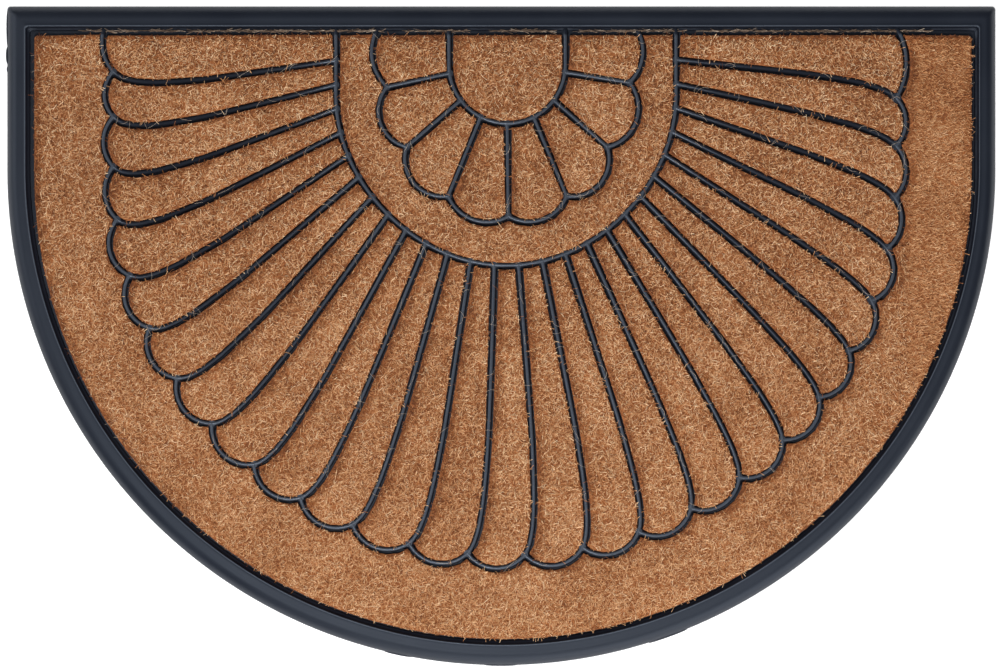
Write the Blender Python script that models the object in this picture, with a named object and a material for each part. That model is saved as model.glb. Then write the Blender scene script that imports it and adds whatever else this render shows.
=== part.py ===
"""Half-round coir doormat: one black rubber moulding with raised ribs, and a pad of brush coir in every pocket.

Metres, +Z up, lying flat. X runs along the straight edge and +Y points from the round edge to the straight one.
The origin is on the floor under the middle of the mat.
"""

import math
from collections import namedtuple

import bmesh
import bpy
from mathutils import Vector

MM = 0.001

# The mat's outline: a half circle with a short straight piece at each end of it
MAT_RADIUS = 457.2 * MM
STRAIGHT_SIDE = 152.4 * MM
MAT_DEPTH = MAT_RADIUS + STRAIGHT_SIDE
CORNER_RADIUS = 3 * MM

# The rim is a little wider at the round edge and at the left than at the right
RIM_TOP_WIDTH = 19.3 * MM
RIM_FOOT_WIDTH = 20.0 * MM
RIM_LEFT_WIDTH = 18.0 * MM
RIM_RIGHT_WIDTH = 16.2 * MM

# Heights over the floor
BACKING_TOP = 3.0 * MM
RIB_TOP = 10.5 * MM
PILE_TOP = 11.5 * MM

# Rim section: share of the rim's width from the outer edge, and height over the floor
RIM_SECTION = (
    (0.00, 2.2 * MM),
    (0.08, 6.0 * MM),
    (0.22, 9.2 * MM),
    (0.42, 11.2 * MM),
    (0.62, 11.6 * MM),
    (0.84, 11.3 * MM),
    (0.88, 12.5 * MM),
    (0.95, 12.5 * MM),
    (1.00, 11.6 * MM),
    (1.00, RIB_TOP),
)

# Rib section: distance of the pocket's wall from the rib's middle line, and height over the floor
CUT_OVERSHOOT = 0.5 * MM
RIB_SECTION = (
    (2.5 * MM, BACKING_TOP),
    (2.5 * MM, 8.6 * MM),
    (1.6 * MM, 10.0 * MM),
    (0.5 * MM, RIB_TOP),
    (0.5 * MM, RIB_TOP + CUT_OVERSHOOT),
)

# Pad section: distance of the pad's side from the rib's middle line, and height over the floor
PAD_CLEARANCE = 0.3 * MM
PAD_SECTION = (
    (3.4 * MM, BACKING_TOP + PAD_CLEARANCE),
    (3.4 * MM, 10.0 * MM),
    (5.0 * MM, PILE_TOP),
)

# The pocket line along the rim runs this far inside the rim's inner wall, with rounder corners
RIM_TO_POCKET_LINE = 1.0 * MM
POCKET_CORNER_RADIUS = 7 * MM

# The fan's ribs spring from the ring at even steps
RIB_COUNT = 26
RING_X = 4.3 * MM
RING_Y = 222.5 * MM
RING_RADIUS = 157.2 * MM
RING_DRAWN_IN = 2.2 * MM
FIRST_SPRING = 29.8 * MM
SPRING_STEP = 22.36 * MM

# The scallops end on a wider line of the same form, narrower up the sides than round the foot
SCALLOP_X = 3.2 * MM
SCALLOP_Y = 159.4 * MM
SCALLOP_RADIUS = 362.0 * MM
SCALLOP_WIDTHS = (
    40, 42, 46, 49, 53, 52, 53, 53, 54, 53, 54, 55, 55,
    53, 54, 54, 53, 53, 53, 52, 51, 51, 50, 48, 48, 44,
)
FIRST_SCALLOP_SPREAD = 8 * MM

# How far an arc swells, as a share of the line between its ends
END_SCALLOP_BULGE = 0.14
SIDE_SCALLOP_BULGE = 0.20
FOOT_SCALLOP_BULGE = 0.25
SIDE_SCALLOPS = 3

# A rib runs straight to a turning place this far short of its scallop, and bends there
RIB_TURN_REACH = 24.5 * MM
RIB_STRAIGHT_SHARE = 2 / 3

# The flower in the middle of the straight edge
CENTRE_X = 5.4 * MM
CENTRE_Y = 250.3 * MM
CENTRE_RADIUS = 53.8 * MM

# Flower ribs: angle at the centre half-disc, then the outer end seen from the disc's middle
FlowerRib = namedtuple("FlowerRib", "angle x y")
FLOWER_RIBS = (
    FlowerRib(angle=188, x=-111 * MM, y=-20 * MM),
    FlowerRib(angle=217, x=-93 * MM, y=-75.5 * MM),
    FlowerRib(angle=243, x=-54.5 * MM, y=-121 * MM),
    FlowerRib(angle=270, x=1 * MM, y=-139.5 * MM),
    FlowerRib(angle=297, x=55 * MM, y=-121 * MM),
    FlowerRib(angle=323, x=92.5 * MM, y=-75.5 * MM),
    FlowerRib(angle=353, x=113 * MM, y=-16 * MM),
)
FLOWER_SPREAD = 119 * MM
FLOWER_BULGES = (0.18, 0.28, 0.28, 0.23, 0.23, 0.28, 0.28, 0.18)

# Steps in the faceted lines
RIM_ARC_STEPS = 44
RING_ARC_STEPS = 2
CENTRE_ARC_STEPS = 3
CORNER_STEPS = 2
SCALLOP_STEPS = 6
RIB_TIMES = (0.0, 0.4, 0.62, 0.76, 0.88, 1.0)
SHARP_ANGLE = math.radians(50)

# Drawn in: how far the line lies inside a true circle at its two shoulders, half-way down to the foot
HalfRound = namedtuple("HalfRound", "x y radius top drawn_in", defaults=(0.0,))

MAT_EDGE = HalfRound(
    x=0.0,
    y=MAT_RADIUS - MAT_DEPTH / 2,
    radius=MAT_RADIUS,
    top=MAT_DEPTH / 2,
)
WELL_RADIUS = MAT_RADIUS - (RIM_LEFT_WIDTH + RIM_RIGHT_WIDTH) / 2
RIM_INNER = HalfRound(
    x=(RIM_LEFT_WIDTH - RIM_RIGHT_WIDTH) / 2,
    y=RIM_FOOT_WIDTH - MAT_DEPTH / 2 + WELL_RADIUS,
    radius=WELL_RADIUS,
    top=MAT_DEPTH / 2 - RIM_TOP_WIDTH,
)
POCKET_LINE = HalfRound(
    x=RIM_INNER.x,
    y=RIM_INNER.y,
    radius=RIM_INNER.radius - RIM_TO_POCKET_LINE,
    top=RIM_INNER.top - RIM_TO_POCKET_LINE,
)
RING_LINE = HalfRound(RING_X, RING_Y, RING_RADIUS, POCKET_LINE.top, RING_DRAWN_IN)
SCALLOP_LINE = HalfRound(SCALLOP_X, SCALLOP_Y, SCALLOP_RADIUS, POCKET_LINE.top)
CENTRE_LINE = HalfRound(CENTRE_X, CENTRE_Y, CENTRE_RADIUS, POCKET_LINE.top)


def clear_scene():
    for obj in list(bpy.data.objects):
        bpy.data.objects.remove(obj)


def new_collection(name):
    collection = bpy.data.collections.new(name)
    bpy.context.scene.collection.children.link(collection)
    return collection


def new_material(name, colour, roughness):
    material = bpy.data.materials.new(name)
    material.use_nodes = True
    shader = material.node_tree.nodes["Principled BSDF"]
    shader.inputs["Base Color"].default_value = (*colour, 1.0)
    shader.inputs["Roughness"].default_value = roughness
    shader.inputs["Metallic"].default_value = 0.0
    return material


def between(outer, inner, share):
    """The half-round line that lies this share of the way from the outer line to the inner one."""
    return HalfRound(*(a + (b - a) * share for a, b in zip(outer, inner)))


def arc_points(centre, radius, start, end, steps):
    points = []
    for step in range(steps + 1):
        angle = start + (end - start) * step / steps
        points.append(centre + radius * Vector((math.cos(angle), math.sin(angle))))
    return points


def half_round_outline(shape, corner):
    """The closed line of a half-round shape, counter-clockwise from its top right corner."""
    middle = Vector((shape.x, shape.y))
    right = Vector((shape.x + shape.radius - corner, shape.top - corner))
    left = Vector((shape.x - shape.radius + corner, shape.top - corner))
    return (
        arc_points(right, corner, 0, math.pi / 2, CORNER_STEPS)
        + arc_points(left, corner, math.pi / 2, math.pi, CORNER_STEPS)
        + arc_points(middle, shape.radius, math.pi, 2 * math.pi, RIM_ARC_STEPS)
    )


def point_on(shape, distance):
    """The point this far along a half-round line, from its top left end round to its top right one."""
    side = shape.top - shape.y
    round_end = side + math.pi * shape.radius
    if distance < side:
        return Vector((shape.x - shape.radius, shape.top - distance))
    if distance > round_end:
        return Vector((shape.x + shape.radius, shape.y + distance - round_end))
    angle = math.pi + (distance - side) / shape.radius
    reach = shape.radius - shape.drawn_in * math.sin(2 * angle) ** 2
    return Vector((shape.x, shape.y)) + reach * Vector((math.cos(angle), math.sin(angle)))


def line_length(shape):
    return 2 * (shape.top - shape.y) + math.pi * shape.radius


def stretch_of(shape, start, end, steps):
    """Points along a half-round line between two distances on it."""
    return [point_on(shape, start + (end - start) * step / steps) for step in range(steps + 1)]


def half_turn(bulge):
    """Half of the angle that an arc turns through, from its bulge."""
    return 2 * math.atan(2 * bulge)


def bulged_arc(start, end, bulge, steps):
    """An arc from start to end that swells to the left of the line between them."""
    chord = end - start
    along = chord.normalized()
    outwards = Vector((-along.y, along.x))
    half = half_turn(bulge)
    radius = chord.length / 2 / math.sin(half)
    centre = (start + end) / 2 - outwards * radius * math.cos(half)
    points = []
    for step in range(steps + 1):
        angle = half * (2 * step / steps - 1)
        points.append(centre + radius * (along * math.sin(angle) + outwards * math.cos(angle)))
    return points


def scallop_bulge(petal):
    from_end = min(petal, RIB_COUNT + 2 - petal)
    if from_end == 1:
        return END_SCALLOP_BULGE
    if from_end <= 1 + SIDE_SCALLOPS:
        return SIDE_SCALLOP_BULGE
    return FOOT_SCALLOP_BULGE


def scallop_corners():
    """Where the scallops meet, from the rim at the left round to the rim at the right."""
    corners = [point_on(SCALLOP_LINE, 0) - Vector((FIRST_SCALLOP_SPREAD, 0))]
    distance = 0
    for width in SCALLOP_WIDTHS:
        distance += width * MM
        corners.append(point_on(SCALLOP_LINE, distance))
    corners.append(point_on(SCALLOP_LINE, line_length(SCALLOP_LINE)))
    return corners


def ring_distances():
    """How far along the ring each rib springs, with the ring's own two ends first and last."""
    springs = [FIRST_SPRING + SPRING_STEP * rib for rib in range(RIB_COUNT)]
    return [0.0, *springs, line_length(RING_LINE)]


def fan_rib(start, end, next_corner, bulge):
    """A rib's middle line: straight from the ring, then bending into the scallop that it draws."""
    chord = (next_corner - end).normalized()
    outwards = Vector((-chord.y, chord.x))
    half = half_turn(bulge)
    heading = chord * math.cos(half) + outwards * math.sin(half)
    turn = end - heading * RIB_TURN_REACH
    lead = start + (turn - start) * RIB_STRAIGHT_SHARE
    points = []
    for t in RIB_TIMES:
        u = 1 - t
        points.append(u**3 * start + 3 * u * u * t * lead + 3 * u * t * t * turn + t**3 * end)
    return points


def counter_clockwise(outline):
    area = sum(a.x * b.y - b.x * a.y for a, b in zip(outline, outline[1:] + outline[:1]))
    return outline if area > 0 else outline[::-1]


def closed_line(*stretches):
    """One closed outline from stretches that each start where the one before ends."""
    outline = []
    for stretch in stretches:
        outline += stretch[:-1]
    return counter_clockwise(outline)


def fan_lines():
    """The fan's scallops, left to right, and its ribs with the rim's line as the first and last of them."""
    corners = scallop_corners()
    springs = [point_on(RING_LINE, distance) for distance in ring_distances()]
    scallops = []
    ribs = [[springs[0], corners[0]]]
    for petal in range(1, len(corners)):
        bulge = scallop_bulge(petal)
        scallops.append(bulged_arc(corners[petal], corners[petal - 1], bulge, SCALLOP_STEPS)[::-1])
        if petal <= RIB_COUNT:
            ribs.append(fan_rib(springs[petal], corners[petal], corners[petal - 1], bulge))
    ribs.append([springs[-1], corners[-1]])
    return ribs, scallops


def flower_lines():
    """The flower's ribs and scallops, left to right, with the rim's line as the first and last rib."""
    middle = Vector((CENTRE_X, CENTRE_Y))
    top = POCKET_LINE.top
    left_end = Vector((CENTRE_X - FLOWER_SPREAD, top))
    right_end = Vector((CENTRE_X + FLOWER_SPREAD, top))
    ribs = [[Vector((CENTRE_X - CENTRE_RADIUS, top)), left_end]]
    for row in FLOWER_RIBS:
        angle = math.radians(row.angle)
        start = middle + CENTRE_RADIUS * Vector((math.cos(angle), math.sin(angle)))
        ribs.append([start, middle + Vector((row.x, row.y))])
    ribs.append([Vector((CENTRE_X + CENTRE_RADIUS, top)), right_end])
    ends = [rib[-1] for rib in ribs]
    scallops = [
        bulged_arc(b, a, bulge, SCALLOP_STEPS)[::-1]
        for a, b, bulge in zip(ends, ends[1:], FLOWER_BULGES)
    ]
    return ribs, scallops


def centre_stretches():
    """The centre half-disc's line, cut where the flower's ribs meet it."""
    side = CENTRE_LINE.top - CENTRE_LINE.y
    marks = [0.0]
    for row in FLOWER_RIBS:
        marks.append(side + CENTRE_RADIUS * math.radians(row.angle - 180))
    marks.append(line_length(CENTRE_LINE))
    return [stretch_of(CENTRE_LINE, a, b, CENTRE_ARC_STEPS) for a, b in zip(marks, marks[1:])]


def joined(stretches):
    """One open line from stretches that follow each other."""
    line = [stretches[0][0]]
    for stretch in stretches:
        line += stretch[1:]
    return line


def pad_outlines():
    """The middle line round every pocket, by the name of its pad."""
    fan_ribs, fan_scallops = fan_lines()
    flower_ribs, flower_scallops = flower_lines()
    marks = ring_distances()
    ring = [stretch_of(RING_LINE, a, b, RING_ARC_STEPS) for a, b in zip(marks, marks[1:])]
    centre = centre_stretches()

    # The field runs round the sides and the foot, so its line is cut open along the straight side
    rim_line = half_round_outline(POCKET_LINE, POCKET_CORNER_RADIUS)
    corner_points = CORNER_STEPS + 1
    rim_line = rim_line[corner_points:] + rim_line[:corner_points]
    outlines = {"coir_field": counter_clockwise(rim_line + joined(fan_scallops)[::-1])}
    for petal, scallop in enumerate(fan_scallops):
        outlines[f"coir_petal_{petal + 1:02d}"] = closed_line(
            fan_ribs[petal], scallop, fan_ribs[petal + 1][::-1], ring[petal][::-1]
        )
    outlines["coir_ring"] = counter_clockwise(joined(ring) + joined(flower_scallops)[::-1])
    for petal, scallop in enumerate(flower_scallops):
        outlines[f"coir_flower_{petal + 1}"] = closed_line(
            flower_ribs[petal], scallop, flower_ribs[petal + 1][::-1], centre[petal][::-1]
        )
    outlines["coir_centre"] = counter_clockwise(joined(centre))
    return outlines


def inset(outline, distance):
    """The closed counter-clockwise outline moved inwards, corner for corner."""
    moved = []
    for before, here, after in zip(outline[-1:] + outline[:-1], outline, outline[1:] + outline[:1]):
        arriving = (here - before).normalized()
        leaving = (after - here).normalized()
        inwards = Vector((-arriving.y - leaving.y, arriving.x + leaving.x))
        moved.append(here + inwards * distance / (1 + arriving.dot(leaving)))
    return moved


def add_stack(bm, levels):
    """A solid whose outline changes from level to level, made by extruding one face again and again."""
    first_line, first_height = levels[0]
    corners = [bm.verts.new((*point, first_height)) for point in first_line]
    top = bm.faces.new(corners)
    for line, height in levels[1:]:
        result = bmesh.ops.extrude_face_region(bm, geom=[top, *top.edges])
        top = next(item for item in result["geom"] if isinstance(item, bmesh.types.BMFace))
        for corner, point in zip(top.verts, line):
            corner.co = (*point, height)


def mesh_object(name, bm, material, collection):
    bmesh.ops.recalc_face_normals(bm, faces=bm.faces)
    mesh = bpy.data.meshes.new(name)
    bm.to_mesh(mesh)
    bm.free()
    mesh.shade_smooth()
    mesh.set_sharp_from_angle(angle=SHARP_ANGLE)
    mesh.materials.append(material)
    obj = bpy.data.objects.new(name, mesh)
    collection.objects.link(obj)
    return obj


def make_pocket_cutters(outlines, material, collection):
    """One mesh of all the pockets, each flaring at the top so that the ribs come out rounded."""
    bm = bmesh.new()
    for outline in outlines.values():
        add_stack(bm, [(inset(outline, side), height) for side, height in RIB_SECTION])
    cutters = mesh_object("pocket_cutters", bm, material, collection)
    cutters.hide_render = True
    cutters.display_type = "WIRE"
    return cutters


def make_rubber_base(cutters, material, collection):
    """The rim's section swept up, over and down into the well, and the pockets cut from what is left."""
    levels = [(half_round_outline(MAT_EDGE, CORNER_RADIUS), 0.0)]
    for share, height in RIM_SECTION:
        line = between(MAT_EDGE, RIM_INNER, share)
        levels.append((half_round_outline(line, CORNER_RADIUS), height))
    bm = bmesh.new()
    add_stack(bm, levels)
    base = mesh_object("rubber_base", bm, material, collection)
    cut = base.modifiers.new("pockets", "BOOLEAN")
    cut.operation = "DIFFERENCE"
    cut.solver = "EXACT"
    cut.object = cutters
    return base


def make_pad(name, outline, material, collection):
    bm = bmesh.new()
    add_stack(bm, [(inset(outline, side), height) for side, height in PAD_SECTION])
    return mesh_object(name, bm, material, collection)


def main():
    clear_scene()
    mat = new_collection("coir_doormat")
    helpers = new_collection("cutters")
    rubber = new_material("rubber", colour=(0.018, 0.020, 0.026), roughness=0.55)
    coir = new_material("coir", colour=(0.35, 0.16, 0.07), roughness=0.95)
    outlines = pad_outlines()
    cutters = make_pocket_cutters(outlines, rubber, helpers)
    make_rubber_base(cutters, rubber, mat)
    for name, outline in outlines.items():
        make_pad(name, outline, coir, mat)


main()
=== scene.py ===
# %% [markdown]
# # A half-round coir doormat
# The real mat is one black rubber moulding: a thin backing, a raised rim round the edge and low ribs that
# draw a fan. Brush coir fills every pocket between the ribs. The plain solids of both are already there, and
# this lesson dresses them: smooth rubber first, then the pads of coir, then the bristles one by one.

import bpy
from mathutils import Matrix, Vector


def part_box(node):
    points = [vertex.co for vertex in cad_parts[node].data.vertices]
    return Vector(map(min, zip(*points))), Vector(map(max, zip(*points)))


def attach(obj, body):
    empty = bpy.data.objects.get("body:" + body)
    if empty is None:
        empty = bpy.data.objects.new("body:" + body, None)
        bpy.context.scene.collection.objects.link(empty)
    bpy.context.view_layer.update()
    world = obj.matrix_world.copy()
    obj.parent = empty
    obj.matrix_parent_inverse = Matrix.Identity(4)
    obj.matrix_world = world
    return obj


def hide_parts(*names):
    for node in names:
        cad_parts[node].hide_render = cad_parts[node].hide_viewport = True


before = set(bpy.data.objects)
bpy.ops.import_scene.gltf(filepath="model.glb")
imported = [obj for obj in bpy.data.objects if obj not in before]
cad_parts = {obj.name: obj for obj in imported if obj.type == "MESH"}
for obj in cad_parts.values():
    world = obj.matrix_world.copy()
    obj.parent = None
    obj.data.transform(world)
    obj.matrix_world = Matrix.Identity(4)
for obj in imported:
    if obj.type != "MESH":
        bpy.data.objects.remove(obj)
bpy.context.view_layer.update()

# %% Imports and units
import math
from collections import namedtuple

import bmesh
import bpy
import numpy as np
from mathutils import Matrix, Vector, noise
from mathutils.bvhtree import BVHTree

MM = 0.001
UP = Vector((0, 0, 1))

# %% [markdown]
# ## The camera
# The mat was photographed from straight above. A camera looks down its own -Z axis with +Y upwards in the
# picture, so it needs no turn here, only a place. One pixel of the picture is 0.925 mm on the mat, which
# gives the width of the view, and a long lens keeps the rim's walls from leaning outwards.

# %% Camera
PICTURE_WIDTH = 1000
PICTURE_HEIGHT = 668
PIXEL = 0.925 * MM
MAT_MIDDLE_X = 501.3
MAT_MIDDLE_Y = 335.9
LENS = 250
SENSOR = 36
SCALE_HEIGHT = 6 * MM


def make_camera():
    data = bpy.data.cameras.new("camera")
    data.lens = LENS
    data.sensor_width = SENSOR
    camera = bpy.data.objects.new("camera", data)
    bpy.context.scene.collection.objects.link(camera)
    distance = PICTURE_WIDTH * PIXEL * LENS / SENSOR
    x = (PICTURE_WIDTH / 2 - MAT_MIDDLE_X) * PIXEL
    y = (MAT_MIDDLE_Y - PICTURE_HEIGHT / 2) * PIXEL
    camera.location = (x, y, SCALE_HEIGHT + distance)
    bpy.context.scene.camera = camera
    return camera


camera = make_camera()
print("camera height:", round(camera.location.z, 3), "m")

# %% [markdown]
# ## Half-round lines
# The edge, the rim's inner wall, the ring and the centre are all the same kind of line: a half circle with
# two short straight sides that run up to a straight top. Four numbers say one: the middle of the circle, its
# radius and the height of the top. The ring is drawn in a little at its two shoulders, so a fifth number says
# by how much. Arcs and straight stretches are then worked out where they are needed.

# %% A half-round line and the points along it
HalfRound = namedtuple("HalfRound", "x y radius top drawn_in", defaults=(0.0,))


def line_length(shape):
    return 2 * (shape.top - shape.y) + math.pi * shape.radius


def point_on(shape, distance):
    """The point this far along the line, from its top left end round to its top right end."""
    side = shape.top - shape.y
    round_end = side + math.pi * shape.radius
    if distance < side:
        return Vector((shape.x - shape.radius, shape.top - distance, 0))
    if distance > round_end:
        return Vector((shape.x + shape.radius, shape.y + distance - round_end, 0))
    angle = math.pi + (distance - side) / shape.radius
    reach = shape.radius - shape.drawn_in * math.sin(2 * angle) ** 2
    return Vector((shape.x + reach * math.cos(angle), shape.y + reach * math.sin(angle), 0))


def shrunk(shape, distance):
    return HalfRound(shape.x, shape.y, shape.radius - distance, shape.top - distance)


edge_low, edge_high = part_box("rubber_base")
MAT_EDGE = HalfRound(x=0.0, y=edge_low.y + edge_high.x, radius=edge_high.x, top=edge_high.y)
print("edge of the mat:", MAT_EDGE, "and its length:", round(line_length(MAT_EDGE), 3), "m")

# %% The rim's inner wall, from the coir field's own box
PAD_TO_RIM = 4.4 * MM

field_low, field_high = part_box("coir_field")
field_radius = (field_high.x - field_low.x) / 2
RIM_INNER = HalfRound(
    x=(field_low.x + field_high.x) / 2,
    y=field_low.y + field_radius,
    radius=field_radius + PAD_TO_RIM,
    top=field_high.y + PAD_TO_RIM,
)
print("inner wall of the rim:", RIM_INNER)

# %% [markdown]
# ## The rubber rim and its backing
# On the real mat the rim is a rounded bank: steep outside, still rising a little across its top, with a thin
# bead where it drops to the pile. A Solidify or a bevelled curve would give it one width all round, but this
# rim is wider at the foot than at the right. So one flat outline is extruded again and again, and each new
# outline lies a little further from the edge towards the inner wall and at its own height. The last one
# closes the well.

# %% Outlines of the rim
CORNER_RADIUS = 3 * MM
CORNER_STEPS = 6
ARC_STEPS = 168


def corner_arc(x, y, radius, start):
    angles = [start + math.pi / 2 * step / CORNER_STEPS for step in range(CORNER_STEPS + 1)]
    return [Vector((x + radius * math.cos(angle), y + radius * math.sin(angle), 0)) for angle in angles]


def outline(shape, corner=CORNER_RADIUS):
    """The closed line round a half-round shape, counter-clockwise from its top right corner."""
    side = shape.top - shape.y
    right = corner_arc(shape.x + shape.radius - corner, shape.top - corner, corner, 0)
    left = corner_arc(shape.x - shape.radius + corner, shape.top - corner, corner, math.pi / 2)
    arc = [point_on(shape, side + math.pi * shape.radius * step / ARC_STEPS) for step in range(ARC_STEPS + 1)]
    return right + left + arc


def between(share):
    """The half-round line this share of the way from the edge to the rim's inner wall."""
    return HalfRound(*(a + (b - a) * share for a, b in zip(MAT_EDGE, RIM_INNER)))


print("points in an outline:", len(outline(MAT_EDGE)))

# %% The rim's section
EDGE_HEIGHT = 2.2 * MM
CROWN_HEIGHT = 11.9 * MM
CROWN_SHARE = 0.70
BANK_STEPS = 14
BANK_POWER = 3
BACKING_TOP = 3.0 * MM

# The bead at the lip: share of the rim's width, and height
LIP_ROWS = (
    (0.80, 12.04 * MM),
    (0.885, 12.14 * MM),
    (0.915, 12.4 * MM),
    (0.932, 12.5 * MM),
    (0.95, 12.5 * MM),
    (0.975, 12.15 * MM),
    (0.99, 11.3 * MM),
    (1.0, 9.8 * MM),
)
# The shoulder inside the rim: distance from its inner wall, and height
SHOULDER_ROWS = (
    (0.5 * MM, 8.4 * MM),
    (1.2 * MM, 7.6 * MM),
    (2.4 * MM, 7.2 * MM),
    (3.2 * MM, 6.6 * MM),
    (3.5 * MM, 5.8 * MM),
    (3.5 * MM, BACKING_TOP),
)


def rim_levels():
    levels = [(MAT_EDGE, 0.0)]
    for step in range(BANK_STEPS + 1):
        share = CROWN_SHARE * step / BANK_STEPS
        rise = 1 - (1 - step / BANK_STEPS) ** BANK_POWER
        levels.append((between(share), EDGE_HEIGHT + (CROWN_HEIGHT - EDGE_HEIGHT) * rise))
    levels += [(between(share), height) for share, height in LIP_ROWS]
    levels += [(shrunk(RIM_INNER, distance), height) for distance, height in SHOULDER_ROWS]
    return levels


print("levels in the rim:", len(rim_levels()))

# %% Build the rim
SHARP_ANGLE = math.radians(42)


def piece_from(bm, name):
    """Turns a bmesh into a smooth-shaded object of this name, at the origin."""
    bmesh.ops.recalc_face_normals(bm, faces=bm.faces)
    mesh = bpy.data.meshes.new(name)
    bm.to_mesh(mesh)
    bm.free()
    mesh.shade_smooth()
    mesh.set_sharp_from_angle(angle=SHARP_ANGLE)
    piece = bpy.data.objects.new(name, mesh)
    bpy.context.scene.collection.objects.link(piece)
    return piece


def extruded_on(bm, face):
    """Extrudes one face and gives back the face that now closes the end."""
    result = bmesh.ops.extrude_face_region(bm, geom=[face, *face.edges])
    return next(item for item in result["geom"] if isinstance(item, bmesh.types.BMFace))


def make_rim():
    bm = bmesh.new()
    levels = rim_levels()
    first_shape, first_height = levels[0]
    top = bm.faces.new([bm.verts.new(point + first_height * UP) for point in outline(first_shape)])
    for shape, height in levels[1:]:
        top = extruded_on(bm, top)
        for vert, point in zip(top.verts, outline(shape)):
            vert.co = point + height * UP
    return piece_from(bm, "rubber_rim_and_backing")


rim = make_rim()
print("faces in the rim:", len(rim.data.polygons))

# %% Flash that was left on the rim's edge, by its distance along it
Flash = namedtuple("Flash", "distance length reach")
FLASHES = (
    Flash(distance=20 * MM, length=34 * MM, reach=1.0 * MM),
    Flash(distance=45 * MM, length=16 * MM, reach=1.5 * MM),
    Flash(distance=58 * MM, length=5 * MM, reach=0.7 * MM),
    Flash(distance=774 * MM, length=26 * MM, reach=0.9 * MM),
    Flash(distance=870 * MM, length=30 * MM, reach=0.8 * MM),
    Flash(distance=1028 * MM, length=38 * MM, reach=1.0 * MM),
)
FLASH_TOP = 2.0 * MM
FLASH_TAPER = 0.9
FLASH_SEGMENTS = 24


def make_flashes():
    """Low slivers of rubber: discs drawn out along the edge, half of each sunk in the rim."""
    bm = bmesh.new()
    for row in FLASHES:
        start, end = (point_on(MAT_EDGE, row.distance + step) for step in (-row.length / 2, row.length / 2))
        turn = Matrix.Rotation(math.atan2(end.y - start.y, end.x - start.x), 4, "Z")
        place = Matrix.Translation(point_on(MAT_EDGE, row.distance) + FLASH_TOP / 2 * UP) @ turn
        size = Matrix.Diagonal((row.length / 2, row.reach, FLASH_TOP, 1))
        sizes = {"radius1": 1, "radius2": FLASH_TAPER, "depth": 1}
        bmesh.ops.create_cone(bm, cap_ends=True, segments=FLASH_SEGMENTS, matrix=place @ size, **sizes)
    return piece_from(bm, "rubber_flash")


flashes = make_flashes()
print("slivers:", len(FLASHES))

# %% [markdown]
# ## The lines of the fan
# Twenty-six ribs spring from the ring at even steps. Each runs straight and then bends into a scallop, so
# that the scallops lie on each other like fish scales. A scallop is an arc that swells from the line between
# its ends, and a rib is a cubic curve that arrives at its scallop along that arc's own direction. Ribs that
# run sideways are also pressed a little lower half-way along, where the pile hides more of them.

# %% Ring, scallop line and centre
RING = HalfRound(x=4.3 * MM, y=222.5 * MM, radius=157.2 * MM, top=RIM_INNER.top, drawn_in=2.2 * MM)
SCALLOP_LINE = HalfRound(x=3.2 * MM, y=159.4 * MM, radius=362.0 * MM, top=RIM_INNER.top)
CENTRE = HalfRound(x=5.4 * MM, y=250.3 * MM, radius=53.8 * MM, top=RIM_INNER.top)

RIB_COUNT = 26
FIRST_SPRING = 30.8 * MM
SPRING_STEP = 22.36 * MM
FIRST_CORNER = 1.0 * MM
FIRST_CORNER_SPREAD = 8 * MM
SCALLOP_WIDTHS = (
    40, 42, 46, 49, 53, 52, 53, 53, 54, 53, 54, 55, 55,
    53, 54, 54, 53, 53, 53, 52, 51, 51, 50, 48, 48, 44,
)


def scallop_corners():
    """Where the scallops meet, from the rim at the left round to the rim at the right."""
    corners = [point_on(SCALLOP_LINE, 0) - Vector((FIRST_CORNER_SPREAD, 0, 0))]
    distance = FIRST_CORNER
    for width in SCALLOP_WIDTHS:
        distance += width * MM
        corners.append(point_on(SCALLOP_LINE, distance))
    corners.append(point_on(SCALLOP_LINE, line_length(SCALLOP_LINE)))
    return corners


print("scallops:", len(scallop_corners()) - 1, "ribs:", RIB_COUNT)

# %% Arcs and bending ribs
ARC_STEP = 4 * MM
RIB_STEPS = 16
RIB_TURN_REACH = 24.5 * MM
RIB_STRAIGHT_SHARE = 2 / 3
RIB_SINK = 2.4 * MM
SINK_POWER = 4
END_BULGE = 0.14
SIDE_BULGE = 0.20
FOOT_BULGE = 0.25
SIDE_SCALLOPS = 3


def bulged_arc(start, end, bulge):
    """An arc that swells to the left of the line from start to end by this share of its length."""
    chord = end - start
    along = chord.normalized()
    outwards = UP.cross(along)
    half = 2 * math.atan(2 * bulge)
    radius = chord.length / 2 / math.sin(half)
    middle = (start + end) / 2 - outwards * radius * math.cos(half)
    steps = math.ceil(2 * half * radius / ARC_STEP)
    angles = [half * (2 * step / steps - 1) for step in range(steps + 1)]
    return [middle + radius * (along * math.sin(angle) + outwards * math.cos(angle)) for angle in angles]


def bulge_of(scallop):
    from_end = min(scallop, RIB_COUNT - scallop)
    if from_end == 0:
        return END_BULGE
    return SIDE_BULGE if from_end <= SIDE_SCALLOPS else FOOT_BULGE


def bending_rib(start, end, before, bulge):
    """A rib from the ring to the end of its scallop, which reaches back to the corner before."""
    chord = (before - end).normalized()
    half = 2 * math.atan(2 * bulge)
    turn = end - RIB_TURN_REACH * (chord * math.cos(half) + UP.cross(chord) * math.sin(half))
    lead = start + (turn - start) * RIB_STRAIGHT_SHARE
    sideways = (end - start).normalized().x ** SINK_POWER
    line = []
    for step in range(RIB_STEPS + 1):
        t = step / RIB_STEPS
        u = 1 - t
        sink = RIB_SINK * sideways * math.sin(math.pi * t)
        line.append(u**3 * start + 3 * u * u * t * lead + 3 * u * t * t * turn + t**3 * end - sink * UP)
    return line


foot_corners = scallop_corners()[RIB_COUNT // 2 :][:2]
print("points in a foot scallop:", len(bulged_arc(*foot_corners, FOOT_BULGE)))

# %% All lines of the fan
def spring_point(rib):
    return point_on(RING, FIRST_SPRING + SPRING_STEP * rib)


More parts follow.
